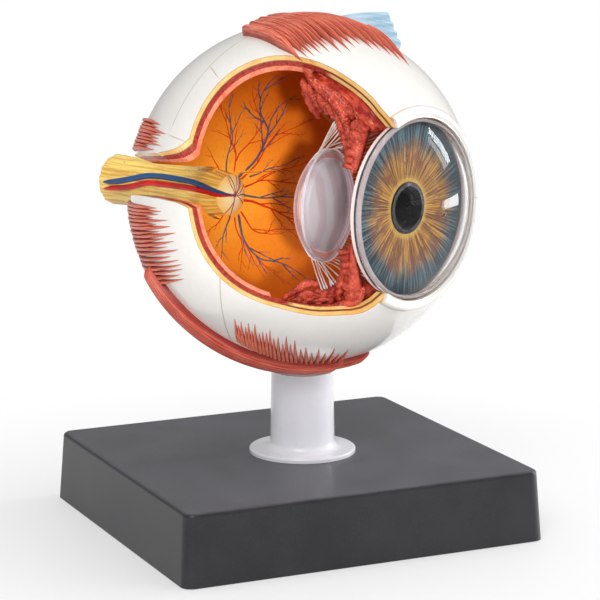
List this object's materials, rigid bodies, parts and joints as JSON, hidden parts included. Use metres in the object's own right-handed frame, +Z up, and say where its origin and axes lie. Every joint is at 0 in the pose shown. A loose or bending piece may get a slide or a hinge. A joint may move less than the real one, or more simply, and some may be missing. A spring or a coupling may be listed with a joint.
{
  "type": "eye anatomy model",
  "caption": "Cut-open eyeball teaching model on a flanged post and block base: layered coats, lens on fibres, iris, clear cornea, optic nerve and eye muscles.",
  "frame": {"origin": "middle of the base's underside, on the face that stands on the table; the post stands 4 mm off it", "axes": "+Z up along the post; +X along the base's long side; -Y towards the base's long front face, with the optic axis 65 degrees clockwise of +X seen from above"},
  "size_m": [0.1696, 0.2059, 0.2265],
  "materials": {
    "base_plastic": "satin, fine moulded grain",
    "pad_rubber": "matt",
    "steel": "plain zinc",
    "post_plastic": "gloss",
    "sclera_plastic": "gloss enamel",
    "choroid_paint": "granular matt",
    "retina_paint": "satin, vessels painted on",
    "ciliary_paint": "wet gloss",
    "iris_paint": "satin, radial strokes",
    "pupil_plastic": "gloss",
    "clear_cornea": "clear gloss",
    "clear_lens": "clear gloss",
    "lens_core": "milky",
    "clear_fibre": "clear",
    "nerve_paint": "satin, grooved lengthwise",
    "disc_paint": "satin",
    "artery_paint": "gloss",
    "vein_paint": "gloss",
    "muscle_paint": "satin, grooved lengthwise",
    "tendon_paint": "satin"
  },
  "bodies": {
    "stand": {"base_shell": "base_plastic", "base_bottom_cover": "base_plastic", "rubber_feet": "pad_rubber", "cover_screws": "steel", "stand_post": "post_plastic", "post_washer": "steel", "post_screw": "steel"},
    "eyeball": {"swivel_pin": "post_plastic", "pin_screw": "steel", "sclera_lower": "sclera_plastic", "choroid_lower": "choroid_paint", "retina_lower": "retina_paint", "ciliary_body_lower": "ciliary_paint", "locating_pegs": "steel", "optic_nerve": "nerve_paint", "optic_disc": "disc_paint", "central_artery": "artery_paint", "central_vein": "vein_paint", "lateral_rectus_lower": "muscle_paint", "medial_rectus_lower": "muscle_paint", "inferior_rectus": "muscle_paint", "inferior_oblique": "muscle_paint"},
    "upper_half": {"sclera_upper": "sclera_plastic", "choroid_upper": "choroid_paint", "retina_upper": "retina_paint", "ciliary_body_upper": "ciliary_paint", "superior_rectus": "muscle_paint", "superior_oblique_tendon": "tendon_paint", "lateral_rectus_upper": "muscle_paint", "medial_rectus_upper": "muscle_paint"},
    "iris_unit": {"iris": "iris_paint", "pupil_tube": "pupil_plastic"},
    "cornea_dome": {"cornea": "clear_cornea"},
    "lens": {"lens_capsule": "clear_lens", "lens_nucleus": "lens_core", "zonule_fibres": "clear_fibre"}
  },
  "joints": [
    {"name": "eyeball_turn", "type": "hinge", "parent": "stand", "child": "eyeball", "pos_m": [0.0036, -0.0017, 0.068], "axis": [0, 0, 1], "continuous": true},
    {"name": "upper_half_lift", "type": "slide", "parent": "eyeball", "child": "upper_half", "axis": [0, 0, 1], "range_m": [0, 0.09]},
    {"name": "iris_pull", "type": "slide", "parent": "eyeball", "child": "iris_unit", "axis": [0.4226, -0.9063, 0], "range_m": [0, 0.055]},
    {"name": "cornea_pull", "type": "slide", "parent": "iris_unit", "child": "cornea_dome", "axis": [0.4226, -0.9063, 0], "range_m": [0, 0.05]},
    {"name": "lens_pull", "type": "slide", "parent": "eyeball", "child": "lens", "axis": [-0.4226, 0.9063, 0], "range_m": [0, 0.025]}
  ]
}
